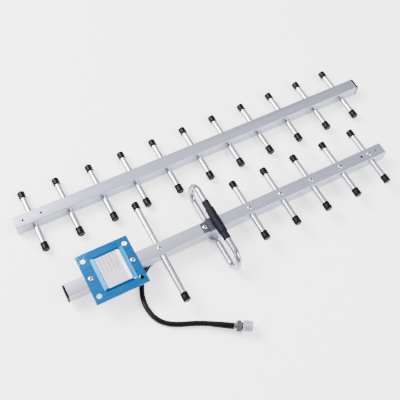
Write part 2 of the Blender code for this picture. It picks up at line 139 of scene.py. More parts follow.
class Paint:
    """A material with one Principled BSDF and the nodes in front of it."""

    def __init__(self, name, **constants):
        self.material = bpy.data.materials.new(name)
        self.material.use_nodes = True
        self.tree = self.material.node_tree
        self.shader = self.tree.nodes["Principled BSDF"]
        for socket, value in constants.items():
            self.shader.inputs[socket.replace("_", " ")].default_value = value

    def node(self, kind, settings=None, sockets=None, output=0):
        """Add any node: its settings first, then the values or wires of its sockets."""
        made = self.tree.nodes.new(kind)
        for name, value in (settings or {}).items():
            setattr(made, name, value)
        for name, value in (sockets or {}).items():
            if isinstance(value, Wire):
                self.tree.links.new(value.socket, made.inputs[name])
            else:
                made.inputs[name].default_value = value
        return Wire(self, made.outputs[output])

    def feed(self, name, wire):
        self.tree.links.new(wire.socket, self.shader.inputs[name])

    def place(self, stretch):
        """Object coordinates, stretched along each axis."""
        where = self.node("ShaderNodeTexCoord", output="Object")
        return self.node("ShaderNodeMapping", None, {"Vector": where, "Scale": stretch})

    def along(self, axis):
        """The coordinate along one axis, in metres."""
        where = self.node("ShaderNodeTexCoord", output="Object")
        return self.node("ShaderNodeSeparateXYZ", None, {0: where}, output=axis)

    def noise(self, stretch, detail):
        return self.node("ShaderNodeTexNoise", None,
                         {"Vector": self.place(stretch), "Scale": 1.0, "Detail": detail,
                          "Roughness": NOISE_ROUGHNESS})

    def mix(self, factor, one, two):
        """One colour where the factor is 0 and the other where it is 1."""
        colours = [(*c, 1) if isinstance(c, tuple) else c for c in (one, two)]
        return self.node("ShaderNodeMix", {"data_type": "RGBA"},
                         {0: factor, 6: colours[0], 7: colours[1]}, output=2)

    def bump(self, height, distance, strength):
        self.feed("Normal", self.node("ShaderNodeBump", None,
                                      {"Height": height, "Distance": distance,
                                       "Strength": strength}))


print("shader tools ready")

# %% [markdown]
# ## The finishes
# Extruded aluminium shows fine lines along its length, and drawn tube shows finer and brighter
# ones. Noise stretched a hundredfold along one axis gives both: it shifts the colour and the
# roughness a little, and it makes a very shallow bump. The same function with unstretched noise
# gives the cast and plated metals. The last finish is painted shade: near-black metal for the
# faces inside the booms and in the recess of each screw, where light scarcely reaches.

# %% Metals
def lined_metal(name, colour, shade, roughness, lines_stretch, marks_stretch, depth):
    """Bare metal with lines drawn along it and soft handling marks over them."""
    paint = Paint(name, Metallic=1.0)
    lines = paint.noise(lines_stretch, detail=4.0)
    marks = paint.noise(marks_stretch, detail=2.0)
    paint.feed("Base Color", paint.mix(lines * 0.6 + marks * 0.4, shade, colour))
    paint.feed("Roughness", lines * 0.10 + marks * 0.05 + (roughness - 0.07))
    paint.bump(lines, depth, 0.5)
    return paint.material


BOOM_ALUMINIUM = lined_metal("boom_aluminium", (0.47, 0.475, 0.58), (0.27, 0.275, 0.35), 0.36,
                             (5, 800, 800), (8, 240, 240), 0.00006)
TUBE_ALUMINIUM = lined_metal("element_aluminium", (0.60, 0.60, 0.65), (0.40, 0.40, 0.45), 0.19,
                             (900, 5, 900), (40, 14, 40), 0.00001)
LOOP_ALUMINIUM = lined_metal("dipole_aluminium", (0.46, 0.46, 0.51), (0.27, 0.27, 0.32), 0.20,
                             (400, 14, 400), (40, 20, 40), 0.00001)
BOSS_ALUMINIUM = lined_metal("boss_aluminium", (0.55, 0.55, 0.58), (0.36, 0.36, 0.39), 0.34,
                             (600, 600, 600), (140, 140, 140), 0.00008)
NICKEL = lined_metal("nickel_plate", (0.80, 0.77, 0.87), (0.64, 0.61, 0.71), 0.30,
                     (400, 400, 400), (150, 150, 150), 0.00001)
DARK_NICKEL = lined_metal("nickel_body", (0.42, 0.39, 0.40), (0.16, 0.15, 0.16), 0.20,
                          (260, 260, 260), (150, 150, 150), 0.00003)
ZINC = lined_metal("zinc_screw", (0.85, 0.85, 0.86), (0.60, 0.60, 0.62), 0.26,
                   (800, 800, 300), (300, 300, 300), 0.00003)
# Painted shade: near-black metal for the faces inside the booms and inside each screw recess.
SHADED_METAL = lined_metal("painted_shade_inside", (0.06, 0.06, 0.07), (0.03, 0.03, 0.035), 0.60,
                           (5, 500, 500), (18, 60, 60), 0.00003)
print("metals", [material.name for material in bpy.data.materials])

# %% [markdown]
# The black pieces differ in gloss. Moulded caps and plugs have a faint grain, shrink tube is drawn
# tight and shows ripples along its length, and the cable jacket is smooth with rubbed patches.

# %% Rubber and plastic
def black_plastic(name, colour, worn, roughness, stretch, depth, shine):
    """Moulded black plastic or rubber with a grain and slightly paler rubbed places."""
    paint = Paint(name, Metallic=0.0, Specular_IOR_Level=shine)
    grain = paint.noise(stretch, detail=5.0)
    rubbed = paint.noise((90, 90, 90), detail=3.0).between(0.5, 0.75)
    paint.feed("Base Color", paint.mix(rubbed * 0.7 + grain * 0.3, colour, worn))
    paint.feed("Roughness", grain * 0.2 + rubbed * 0.08 + (roughness - 0.1))
    paint.bump(grain, depth, 0.8)
    return paint.material


DEEP_BLACK, WORN_BLACK = (0.001, 0.001, 0.0015), (0.003, 0.003, 0.004)
CAP_RUBBER = black_plastic("cap_rubber", DEEP_BLACK, WORN_BLACK, 0.32, (500, 500, 500),
                           0.00012, 0.10)
PLUG_PLASTIC = black_plastic("plug_plastic", DEEP_BLACK, WORN_BLACK, 0.45, (700, 700, 700),
                             0.0001, 0.08)
SHRINK = black_plastic("shrink_sleeve", (0.003, 0.003, 0.006), (0.007, 0.007, 0.012), 0.5,
                       (260, 60, 260), 0.0006, 0.10)
SADDLE_PLASTIC = black_plastic("saddle_plastic", (0.022, 0.026, 0.036), (0.05, 0.055, 0.07), 0.42,
                               (600, 600, 600), 0.0001, 0.25)
JACKET = black_plastic("cable_jacket", DEEP_BLACK, WORN_BLACK, 0.28, (300, 300, 300), 0.0001, 0.16)
print("finishes so far", len(bpy.data.materials))

# %% [markdown]
# The mounting plate is covered in blue film over bright metal, so nearly all of its colour comes
# from a metallic shader with a very thin coat. The film is stretched over the slopes of the
# pressed panel. Light and shade on those slopes are painted into the colour: a painted highlight
# makes the forward slope bright and painted shade makes the rear one dark. A stripe across the
# plate, read from its own coordinates, paints each of them, and a patch at one corner adds bubbles.

# %% Film on the plate
PLATE = middle_of("mounting_plate")
FILM_DEEP, FILM_PALE = (0.0, 0.060, 0.20), (0.0, 0.105, 0.30)
# Painted light on the panel's slopes: painted shade on the rear slope, a painted highlight on the
# forward one.
FILM_SLOPE_PAINTED_SHADE, FILM_SLOPE_PAINTED_HIGHLIGHT = (0.0, 0.055, 0.12), (0.02, 0.50, 0.95)
FILM_BUBBLE = (0.05, 0.45, 0.70)
REAR_SLOPE, REAR_SLOPE_HALF = -0.0195, 0.0030           # from the middle of the plate
FORWARD_SLOPE, FORWARD_SLOPE_HALF = 0.0243, 0.0024
SLOPE_BLUR = 0.0006
SLOPE_REACH, REACH_BLUR = 0.0265, 0.0010                # how far the slopes run to each side
LIFT_X, LIFT_Y, LIFT_BLUR = -0.022, 0.018, 0.012        # where the film starts to lift


def blue_film():
    """Film over metal: streaks from the roller, painted shade and a painted highlight on two slopes,
    and a bubbled corner.
    """
    paint = Paint("plate_film", Metallic=0.95, Coat_Weight=0.06, Coat_Roughness=0.1)
    lengthwise, sideways = paint.along(0), paint.along(1)
    streaks = paint.noise((60, 320, 60), detail=4.0)
    corner_x, corner_y = PLATE.x + LIFT_X, PLATE.y + LIFT_Y
    corner = lengthwise.between(corner_x, corner_x - LIFT_BLUR)
    corner = corner * sideways.between(corner_y, corner_y + LIFT_BLUR)
    bubbles = paint.noise((600, 600, 600), detail=2.0).between(0.52, 0.62) * corner
    width = sideways.stripe(PLATE.y, SLOPE_REACH, REACH_BLUR)
    # Masks for painted shade on the rear slope and a painted highlight on the forward slope, across
    # the panel's width.
    rear = lengthwise.stripe(PLATE.x + REAR_SLOPE, REAR_SLOPE_HALF, SLOPE_BLUR)
    forward = lengthwise.stripe(PLATE.x + FORWARD_SLOPE, FORWARD_SLOPE_HALF, SLOPE_BLUR)
    film = paint.mix(streaks, FILM_DEEP, FILM_PALE)
    # Paint shade onto the rear slope and a highlight onto the forward slope.
    film = paint.mix(rear * width, film, FILM_SLOPE_PAINTED_SHADE)
    film = paint.mix(forward * width, film, FILM_SLOPE_PAINTED_HIGHLIGHT)
    paint.feed("Base Color", paint.mix(bubbles * 0.7, film, FILM_BUBBLE))
    paint.feed("Roughness", streaks * 0.16 + 0.22)
    paint.bump(streaks * 0.4 + bubbles * 0.6, 0.0001, 0.6)
    return paint.material


PLATE_FILM = blue_film()
print("film tints its slopes within", SLOPE_REACH, "m of the middle")

# %% [markdown]
# The label on the panel is silver foil. Its printing is left as plain faint bars over part of it,
# a line, and a paler margin beyond the line, because those are what shows from a step away.

# %% Foil of the label
LABEL_LENGTH, LABEL_WIDTH = 0.0365, 0.0490
LABEL_MARGIN = 0.0058             # plain margin at the forward edge of the label
LABEL_BARS, BAR_START, BAR_PITCH = 5, 0.0042, 0.0054
BAR_HALF, BAR_BLUR = 0.0006, 0.0007
BARS_FROM, BARS_FADE = -0.004, 0.005
LINE_HALF, LINE_BLUR = 0.0003, 0.0004
FOIL_SHADE, FOIL_SILVER, FOIL_MARGIN = (0.47, 0.45, 0.53), (0.56, 0.54, 0.62), (0.86, 0.93, 0.96)
INK = (0.16, 0.15, 0.18)


def ruled_foil():
    """Silver foil with faint bars across part of it and a line near its forward edge."""
    paint = Paint("label_foil", Metallic=0.35, Coat_Weight=0.3, Coat_Roughness=0.2)
    lengthwise, sideways = paint.along(0), paint.along(1)
    rear_edge, line_at = -LABEL_LENGTH / 2, LABEL_LENGTH / 2 - LABEL_MARGIN
    bars = sum(lengthwise.stripe(rear_edge + BAR_START + number * BAR_PITCH, BAR_HALF, BAR_BLUR)
               for number in range(LABEL_BARS))
    broken = paint.noise((200, 500, 1), detail=2.0).between(0.38, 0.50)
    reach = sideways.between(BARS_FROM, BARS_FROM + BARS_FADE)
    line = lengthwise.stripe(line_at, LINE_HALF, LINE_BLUR)
    margin = lengthwise.between(line_at, line_at + LINE_BLUR)
    cloud = paint.noise((90, 60, 1), detail=2.0)
    foil = paint.mix(margin, paint.mix(cloud, FOIL_SHADE, FOIL_SILVER), FOIL_MARGIN)
    ink = bars * broken * reach * 0.75 + line * 0.6
    paint.feed("Base Color", paint.mix(ink, foil, INK))
    paint.feed("Roughness", cloud * 0.2 + 0.3)
    paint.bump(cloud, 0.00005, 0.5)
    return paint.material


LABEL_FOIL = ruled_foil()
print("foil has", LABEL_BARS, "bars and a line")

# %% [markdown]
# ## Making solids
# Most pieces are turned: a half outline spun about an axis. The rest are rings of points joined by
# a skin, and some of them are then cut with a Boolean. Each helper returns a mesh, and `piece`
# gives it a finish and puts it on the body it moves with.

# %% Mesh tools
SIDES = 48


def mesh_from(shape, name="shape"):
    bmesh.ops.recalc_face_normals(shape, faces=shape.faces)
    mesh = bpy.data.meshes.new(name)
    shape.to_mesh(mesh)
    shape.free()
    return mesh


def turned(outline, axis=Z, at=Vector(), sides=SIDES, closed=False):
    """Spin (distance along the axis, radius) points about a line through a place."""
    shape = bmesh.new()
    side = axis.orthogonal().normalized()
    knots = [shape.verts.new(at + axis * along + side * radius) for along, radius in outline]
    pairs = list(zip(knots, knots[1:])) + ([(knots[-1], knots[0])] if closed else [])
    edges = [shape.edges.new(pair) for pair in pairs]
    bmesh.ops.spin(shape, geom=knots + edges, cent=at, axis=axis, angle=math.tau, steps=sides,
                   use_merge=True)
    bmesh.ops.remove_doubles(shape, verts=shape.verts, dist=1e-7)
    return mesh_from(shape)


def rod(radius, start, end, axis, at, sides=SIDES):
    return turned([(start, 0), (start, radius), (end, radius), (end, 0)], axis, at, sides)


def arc(middle, radius, start, end, steps):
    """Points of (distance along, radius) on an arc, by angles in degrees."""
    angles = [math.radians(start + (end - start) * step / steps) for step in range(steps + 1)]
    return [(middle[0] + radius * math.cos(a), middle[1] + radius * math.sin(a)) for a in angles]


def rounded_rectangle(width, depth, radius, steps=4):
    points = []
    for quarter, (sx, sy) in enumerate(((1, 1), (-1, 1), (-1, -1), (1, -1))):
        middle = (sx * (width / 2 - radius), sy * (depth / 2 - radius))
        points += arc(middle, radius, quarter * 90, quarter * 90 + 90, steps)
    return points


def skinned(rings, looped=False):
    """A skin over rings of points: capped at both ends, or looped from the last to the first."""
    shape = bmesh.new()
    knots = [[shape.verts.new(point) for point in ring] for ring in rings]
    if looped:
        pairs = zip(knots, knots[1:] + knots[:1])
    else:
        shape.faces.new(knots[0])
        shape.faces.new(knots[-1])
        pairs = zip(knots, knots[1:])
    order = list(range(len(rings[0])))
    for near, far in pairs:
        for one, two in zip(order, order[1:] + order[:1]):
            shape.faces.new((near[one], near[two], far[two], far[one]))
    return mesh_from(shape)


def prism(outline, stops, frame_of):
    """A solid through several stops: frame_of turns (stop, u, v) into a point."""
    return skinned([[frame_of(stop, u, v) for u, v in outline] for stop in stops])


def box_mesh(low, high):
    shape = bmesh.new()
    low, high = Vector(low), Vector(high)
    bmesh.ops.create_cube(shape, size=1, matrix=Matrix.Translation((low + high) / 2)
                          @ Matrix.Diagonal((*(high - low), 1)))
    return mesh_from(shape)


print("mesh tools ready, with", SIDES, "sides to a turned piece")

# %% Cutting and joining
def merged(meshes):
    shape = bmesh.new()
    for mesh in meshes:
        shape.from_mesh(mesh)
    return mesh_from(shape)


def boolean(base, tool, operation="DIFFERENCE"):
    """Two meshes cut or joined, worked out once and kept as a mesh."""
    held = [bpy.data.objects.new("held", mesh) for mesh in (base, tool)]
    for made in held:
        bpy.context.collection.objects.link(made)
    cut = held[0].modifiers.new("cut", "BOOLEAN")
    cut.operation, cut.solver, cut.object = operation, "EXACT", held[1]
    bpy.context.view_layer.update()
    shown = held[0].evaluated_get(bpy.context.evaluated_depsgraph_get())
    mesh = bpy.data.meshes.new_from_object(shown)
    for made in held:
        bpy.data.objects.remove(made)
    return mesh


print("cutting tools ready")

# %% [markdown]


def piece(name, mesh, finish, body, stands_for=None, where=None, edge=0.0, angle=35):
    """Show a mesh as a piece of the antenna that moves with a body."""
    mesh.name = name
    mesh.materials.clear()
    mesh.materials.append(finish)
    mesh.shade_smooth()
    mesh.set_sharp_from_angle(angle=math.radians(angle))
    made = bpy.data.objects.new(name, mesh)
    if where is not None:
        made.matrix_world = where
    bpy.context.collection.objects.link(made)
    if edge:
        ease = made.modifiers.new("eased_edges", "BEVEL")
        ease.width, ease.segments, ease.limit_method = edge, 2, "ANGLE"
        ease.angle_limit = math.radians(40)
        ease.harden_normals = True
    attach(made, body)
    if stands_for:
        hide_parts(stands_for)
    return made


# %% [markdown]
# ## The lead
# The coax leaves the boss on the dipole, runs under the raised boom and comes out beside the
# plate in one loose curve. A Bezier curve through a few chosen points bends like a stiff cable,
# and its jacket is a round bevel on that curve. The points are measured from the reflector and
# the middle of the rear boom.

# %% Where the lead runs
CABLE_RADIUS, BOOT_RADIUS, COLLAR_RADIUS = 0.004, 0.0048, 0.0046
GAP = 0.0003                      # between pieces that don't touch
STRAIGHT = 0.008                  # the lead runs straight this far from each of its ends
FEED_FORWARD, COLLAR_OFFSET = 0.0065, 0.0032
nut_joint = [j for j in frame["record"]["behaviour"]["joints"] if j["child"] == NUT][0]
PLUG_START = Vector(nut_joint["pos_m"])
PLUG_WAY = Vector(nut_joint["axis"]).normalized()
REFLECTOR_X = middle_of("reflector_cap_near").x
REAR_Y = middle_of("rear_boom").y
dipole_low, dipole_high = corners("folded_dipole")
CABLE_START = Vector((dipole_low.x - GAP, REAR_Y - FEED_FORWARD + COLLAR_OFFSET,
                      COLLAR_RADIUS + GAP))
CABLE_ROUTE = [
    (0.0450, -0.0025, 0.0044), (0.0150, -0.0005, 0.0042), (-0.0080, -0.0018, 0.0042),
    (-0.0254, -0.0085, 0.0042), (-0.0385, -0.0215, 0.0042), (-0.0470, -0.0370, 0.0042),
    (-0.0517, -0.0540, 0.0042), (-0.0515, -0.0700, 0.0042), (-0.0468, -0.0850, 0.0042),
    (-0.0375, -0.0965, 0.0042), (-0.0240, -0.1053, 0.0044), (-0.0050, -0.1140, 0.0053),
    (0.0120, -0.1235, 0.0072),
]

plug_end = PLUG_START - PLUG_WAY * GAP
route = [CABLE_START, CABLE_START - X * STRAIGHT]
route += [Vector((REFLECTOR_X + x, REAR_Y + y, z)) for x, y, z in CABLE_ROUTE]
route += [plug_end - PLUG_WAY * STRAIGHT, plug_end]
print("lead from", [round(v, 3) for v in CABLE_START], "to", [round(v, 3) for v in plug_end])

# %% Coax cable and its boot
BOOT_REACH, BOOT_MOUTH = 0.25, 0.88   # where the boot starts on the last bend, and how thin


def jacketed(name, points, radius, mouth=1.0):
    """A round jacket on a curve through the points; mouth is its thickness at the first one."""
    curve = bpy.data.curves.new(name, "CURVE")
    curve.dimensions, curve.bevel_depth, curve.bevel_resolution = "3D", radius, 8
    curve.use_fill_caps = True
    spline = curve.splines.new("BEZIER")
    spline.bezier_points.add(len(points) - 1)
    for knot, point in zip(spline.bezier_points, points):
        knot.co = point
        knot.handle_left_type = knot.handle_right_type = "AUTO"
    spline.bezier_points[0].radius = mouth
    spline.resolution_u = 10
    made = bpy.data.objects.new(name, curve)
    made.data.materials.append(JACKET)
    bpy.context.collection.objects.link(made)
    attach(made, REAR)
    return made


coax = jacketed("coax", route, CABLE_RADIUS)
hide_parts("coax_cable")
boot_route = [route[-3].lerp(route[-2], BOOT_REACH), route[-2], plug_end]
jacketed("cable_boot", boot_route, BOOT_RADIUS, BOOT_MOUTH)

# %% [markdown]
# ## The booms
# Both halves are cut from one extrusion: a thin square tube with slightly round corners. Every
# element passes through two round holes in its sides. The tube is divided between the holes, so
# that each cut stays inside its own short face and the long faces shade flat. Two bolt holes, one on
# each side of the last rod, are where the halves are bolted together.

# %% Booms and their end plugs
WALL, BOOM_CORNER = 0.0012, 0.0009
TUBE_RADIUS, HOLE_RADIUS, BOLT_HOLE, SCREW_HOLE = 0.005, 0.0053, 0.0020, 0.0019
BOLT_OFFSET = 0.0140
PLUG_RIM, PLUG_DEPTH, PLUG_OVERLAP = 0.0034, 0.010, 0.001
FIT = 0.0002                      # play between pieces that are pushed together
BOOMS = {FRONT: "front_boom", REAR: "rear_boom"}
JOINT_END = {FRONT: -1, REAR: 1}      # along X, the end of the boom that meets the other half
SCREW_SIDE = {FRONT: -1, REAR: 1}     # along Z, the face of the boom with the screw heads
ELEMENTS = {node[:-8]: (FRONT if node.startswith("front") else REAR)
            for node in frame["nodes"] if node.endswith("_cap_far")}


def element_axis(name):
    """Where an element's axis is along X and Z, and the tips of its far and near caps."""
    low, high = corners(name + "_cap_far")
    near_low, near_high = corners(name + "_cap_near")
    return (low.x + high.x) / 2, (low.z + high.z) / 2, high.y, near_low.y


def cross_drill(x, z, y, reach=0.03):
    return rod(HOLE_RADIUS, -reach, reach, Y, Vector((x, y, z)), 32)


def upright_drill(x, y, low, high, radius):
    return rod(radius, low, high, Z, Vector((x, y, 0)), 24)


def build_boom(body, fixings):
    """One half's extrusion with all its holes, and the plug in its closed end."""
    node = BOOMS[body]
    low, high = corners(node)
    middle = (low + high) / 2
    side = high.y - low.y
    bore = side - 2 * WALL
    axes = [element_axis(name)[:2] for name, owner in ELEMENTS.items() if owner == body]
    last = (max if JOINT_END[body] > 0 else min)(x for x, z in axes)
    bolts = [last - BOLT_OFFSET, last + BOLT_OFFSET]
    screws = [x for x, z in axes] + fixings
    marks = sorted(screws + bolts)
    cuts = [(one + two) / 2 for one, two in zip(marks, marks[1:])]

    def frame_of(stop, u, v):
        return Vector((stop, middle.y + u, middle.z + v))

    outside = prism(rounded_rectangle(side, side, BOOM_CORNER), [low.x, *cuts, high.x], frame_of)
    inside = prism(rounded_rectangle(bore, bore, BOOM_CORNER / 3, 2),
                   [low.x - WALL, *cuts, high.x + WALL], frame_of)
    tube = boolean(outside, inside)
    tube = boolean(tube, merged([cross_drill(x, z, middle.y) for x, z in axes]))
    face = high.z if SCREW_SIDE[body] > 0 else low.z
    drills = [upright_drill(x, middle.y, face - 2 * WALL, face + 2 * WALL, SCREW_HOLE)
              for x in screws]
    drills += [upright_drill(x, middle.y, low.z - WALL, high.z + WALL, BOLT_HOLE) for x in bolts]
    tube = boolean(tube, merged(drills))
    piece(node + "_extrusion", tube, BOOM_ALUMINIUM, body, node, angle=40)
    # The faces inside the tube get the painted shade finish, so they render near black.
    tube.materials.append(SHADED_METAL)
    for wall in tube.polygons:
        off = wall.center - middle
        wall.material_index = int(max(abs(off.y), abs(off.z)) < bore / 2 + WALL / 10)

    out = -JOINT_END[body]
    end = high.x if out > 0 else low.x
    rim = prism(rounded_rectangle(side - FIT, side - FIT, BOOM_CORNER),
                [end + out * FIT, end + out * PLUG_RIM], frame_of)
    spigot = prism(rounded_rectangle(bore - 2 * FIT, bore - 2 * FIT, BOOM_CORNER / 2),
                   [end - out * PLUG_DEPTH, end + out * PLUG_OVERLAP], frame_of)
    piece(node + "_plug", boolean(rim, spigot, "UNION"), PLUG_PLASTIC, body, edge=0.0004)
    print(node, "drilled", len(screws), "screw holes and", len(axes), "element holes")


saddle_low, saddle_high = corners("dipole_saddle")
PLATE_SCREW, SADDLE_SCREW = 0.032, 0.005
build_boom(FRONT, [])
build_boom(REAR, [PLATE.x - PLATE_SCREW, PLATE.x + PLATE_SCREW, saddle_low.x + SADDLE_SCREW])

# %% [markdown]
# ## Rods, caps and screws
# Each rod is drawn tube with a rubber cap pushed over both ends, held by one screw through the
# boom wall. The caps and screws are all alike, so one mesh of each is made and set down many times.

# %% Screws
HEAD_RADIUS, HEAD_HEIGHT, DOME_STEPS = 0.0036, 0.0016, 8
HEAD_RIM, HEAD_DOME = HEAD_HEIGHT * 0.4, HEAD_HEIGHT * 0.68
SHANK_RADIUS, SHANK_LENGTH = 0.0015, 0.003
SLOT_WIDTH, SLOT_LENGTH, SLOT_DEPTH = 0.0013, 0.0044, 0.0012
HAIR = 0.0001                     # a hair's breadth


def pan_head():
    """A domed head with a cross recess, standing on z = 0, with a short shank below."""
    outline = [(-SHANK_LENGTH, 0), (-SHANK_LENGTH, SHANK_RADIUS), (0, SHANK_RADIUS),
               (0, HEAD_RADIUS), (HEAD_RIM, HEAD_RADIUS)]
    for step in range(1, DOME_STEPS):
        swing = math.radians(90 * step / DOME_STEPS)
        outline.append((HEAD_RIM + HEAD_DOME * math.sin(swing), HEAD_RADIUS * math.cos(swing)))
    head = turned(outline + [(HEAD_RIM + HEAD_DOME, 0)], sides=32)
    long, short = SLOT_LENGTH / 2, SLOT_WIDTH / 2
    arm = [(long, -short), (long, short), (short, short)]
    cross = [(u * c - v * s, u * s + v * c) for c, s in ((1, 0), (0, 1), (-1, 0), (0, -1))
             for u, v in arm]
    recess = prism(cross, [HEAD_HEIGHT - SLOT_DEPTH, 2 * HEAD_HEIGHT],
                   lambda stop, u, v: Vector((u, v, stop)))
    return boolean(head, recess)


def in_recess(face):
    """Whether a face of the screw is a wall or the floor of its cross recess."""
    near = face.center.xy.length < SLOT_LENGTH / 2 + HAIR and face.center.z > 0
    low = face.center.z < HEAD_HEIGHT - SLOT_DEPTH + HAIR
    return near and (abs(face.normal.z) < 0.3 or low)


SCREW = pan_head()
RECESS = [face.index for face in SCREW.polygons if in_recess(face)]


def set_screw(name, at, body, up=1, twist=0.0, size=1.0):
    """Set a screw down at a place, with its head up or down and turned by some degrees."""
    where = Matrix.Translation(at) @ Matrix.Rotation(math.radians(twist), 4, "Z")
    if up < 0:
        where = where @ Matrix.Rotation(math.pi, 4, "X")
    mesh = SCREW.copy()
    mesh.transform(Matrix.Scale(size, 4))
    piece(name, mesh, ZINC, body, where=where, angle=30)
    # The faces of the cross recess get the painted shade finish, which darkens the recess.
    mesh.materials.append(SHADED_METAL)
    for index in RECESS:
        mesh.polygons[index].material_index = 1


print("screw has", len(SCREW.vertices), "vertices and", len(RECESS), "faces in its recess")

# %% Caps
CAP_LENGTH, CAP_RADIUS, CAP_ROUND, CAP_END = 0.0125, 0.0059, 0.0016, 0.0015
LIP, LIP_ROUND, WAIST_END, WAIST_RISE = 0.0012, 0.0003, 0.0040, 0.0020
DIMPLE_DEPTH, DIMPLE_RADIUS, DIMPLE_RIM = 0.0005, 0.0018, 0.0022


def cap_mesh():
    """A cup along +Y whose closed end is at 0, with a soft shoulder and a rolled mouth."""
    mouth, inner, waist = -CAP_LENGTH, TUBE_RADIUS + FIT, CAP_RADIUS - FIT
    outline = [(-CAP_END, 0), (-CAP_END, inner), (mouth, inner), (mouth, CAP_RADIUS - LIP_ROUND),
               (mouth + LIP_ROUND, CAP_RADIUS), (mouth + LIP, CAP_RADIUS),
               (mouth + LIP + LIP_ROUND, waist), (mouth + WAIST_END, waist),
               (mouth + WAIST_END + WAIST_RISE, CAP_RADIUS)]
    outline += arc((-CAP_ROUND, CAP_RADIUS - CAP_ROUND), CAP_ROUND, 90, 0, 6)
    outline += [(-FIT, DIMPLE_RIM), (-DIMPLE_DEPTH, DIMPLE_RADIUS), (-DIMPLE_DEPTH, 0)]
    return turned(outline, Y)


CAP = cap_mesh()
print("cap has", len(CAP.vertices), "vertices")

# %% Elements
TUBE_WALL, TUBE_INSET = 0.001, 0.0018     # the tube stops this far inside each cap's tip
SCREW_TWIST = 9000                        # degrees for each metre, so that no two turn alike
CAP_TURNS = {"far": Matrix(), "near": Matrix.Rotation(math.pi, 4, "Z")}


def build_element(name, body):
    """One rod, with a cap at both tips and the screw that holds it in the boom."""
    x, z, far, near = element_axis(name)
    start, end = near + TUBE_INSET, far - TUBE_INSET
    inner = TUBE_RADIUS - TUBE_WALL
    tube = turned([(start, TUBE_RADIUS), (end, TUBE_RADIUS), (end, inner), (start, inner)], Y,
                  Vector((x, 0, z)), closed=True)
    piece(name + "_rod", tube, TUBE_ALUMINIUM, body, name)
    for side, tip in (("far", far), ("near", near)):
        where = Matrix.Translation((x, tip, z)) @ CAP_TURNS[side]
        piece(f"{name}_{side}_cap", CAP.copy(), CAP_RUBBER, body, f"{name}_cap_{side}", where)
    boom_low, boom_high = corners(BOOMS[body])
    up = SCREW_SIDE[body]
    seat = boom_high.z if up > 0 else boom_low.z
    at = Vector((x, (boom_low.y + boom_high.y) / 2, seat + up * FIT))
    set_screw(name + "_screw", at, body, up, x * SCREW_TWIST % 90)


for element_name, element_body in ELEMENTS.items():
    build_element(element_name, element_body)
print(len(ELEMENTS), "elements, each with a rod, two caps and a screw")

# %% [markdown]
# ## The folded dipole
# The driven element is one tube bent into a flat loop that the boom passes through. A ring is
# carried round the loop's centre line, which stays true at the bends where a curve's bevel could
# pinch. The round boss on its lower bar is where the lead is joined.

# %% Dipole loop
DIPOLE_LEAN = 0.0045              # how far the upper bar is ahead of the lower one
BEND_STEPS = 24
sleeve_low, sleeve_high = corners("dipole_sleeve")
UPPER_BAR = middle_of("dipole_sleeve")
LOWER_BAR = Vector((UPPER_BAR.x - DIPOLE_LEAN, UPPER_BAR.y, TUBE_RADIUS))


def loop_points():
    """Stations on the loop's centre line: a half circle at each end, joined by straight bars."""
    middle, up = (LOWER_BAR + UPPER_BAR) / 2, (UPPER_BAR - LOWER_BAR) / 2
    reach = (dipole_high.y - dipole_low.y) / 2 - TUBE_RADIUS - up.length
    points = []
    for side in (1, -1):
        for step in range(BEND_STEPS + 1):
            swing = math.pi * step / BEND_STEPS
            points.append(middle + Y * reach * side + up * math.cos(swing) * side
                          + Y * up.length * math.sin(swing) * side)
    return points


def ring_tube(points, radius, normal, sides=32):
    """A closed tube round a flat loop; normal is square to the loop's plane."""
    rings = []
    for index, point in enumerate(points):
        before, after = points[index - 1], points[(index + 1) % len(points)]
        outward = (after - before).normalized().cross(normal)
        rings.append([point + outward * radius * math.cos(math.tau * k / sides)
                      + normal * radius * math.sin(math.tau * k / sides) for k in range(sides)])
    return skinned(rings, looped=True)


loop_normal = (UPPER_BAR - LOWER_BAR).cross(Y).normalized()
piece("dipole_loop", ring_tube(loop_points(), TUBE_RADIUS, loop_normal), LOOP_ALUMINIUM, REAR,
      "folded_dipole", angle=60)
print("loop of", len(loop_points()), "stations")

# %% Feed boss and cable collar
FEED_RADIUS, FEED_TOP, FEED_ROUND, FEED_CHAMFER = 0.0115, 0.0100, 0.0012, 0.0006
FEED_SCREW, FEED_SCREW_SIZE = Vector((0.0025, -0.0072, FEED_TOP)), 0.68
COLLAR_LENGTH, COLLAR_CHAMFER = 0.0060, 0.0004

feed = Vector((LOWER_BAR.x, REAR_Y - FEED_FORWARD, 0))
boss = [(FIT, 0), (FIT, FEED_RADIUS - FEED_CHAMFER), (FIT + FEED_CHAMFER, FEED_RADIUS)]
boss += arc((FEED_TOP - FEED_ROUND, FEED_RADIUS - FEED_ROUND), FEED_ROUND, 90, 0, 5)
boss += [(FEED_TOP, 0)]
piece("feed_boss", turned(boss, Z, feed), BOSS_ALUMINIUM, REAR)
set_screw("feed_boss_screw", feed + FEED_SCREW, REAR, twist=25, size=FEED_SCREW_SIZE)
collar_bore = CABLE_RADIUS + HAIR
collar = [(0, collar_bore), (0, COLLAR_RADIUS - GAP), (COLLAR_CHAMFER, COLLAR_RADIUS),
          (COLLAR_LENGTH, COLLAR_RADIUS), (COLLAR_LENGTH, collar_bore)]
piece("cable_collar", turned(collar, X, CABLE_START + X * GAP, closed=True), BOSS_ALUMINIUM, REAR)
print("boss", round(FEED_RADIUS * 2000, 1), "mm across")

# %% [markdown]
# The sleeve is shrunk over the joint in the upper bar. It is a turned form with a thick middle and
# tapered steps, then its surface is pushed in and out a little, as shrink tube is never quite even.

# %% Sleeve
SLEEVE_THIN, SLEEVE_THICK = 0.0059, 0.0070
THICK_HALF, TAPER = 0.0220, 0.0030
SLEEVE_STEPS, RIPPLE = 60, 0.00008


def sleeve_radius(along):
    """The sleeve's radius at a distance from its middle."""
    share = min(max((THICK_HALF - abs(along)) / TAPER + 0.5, 0), 1)
    smooth = share * share * (3 - 2 * share)
    return SLEEVE_THIN + (SLEEVE_THICK - SLEEVE_THIN) * smooth


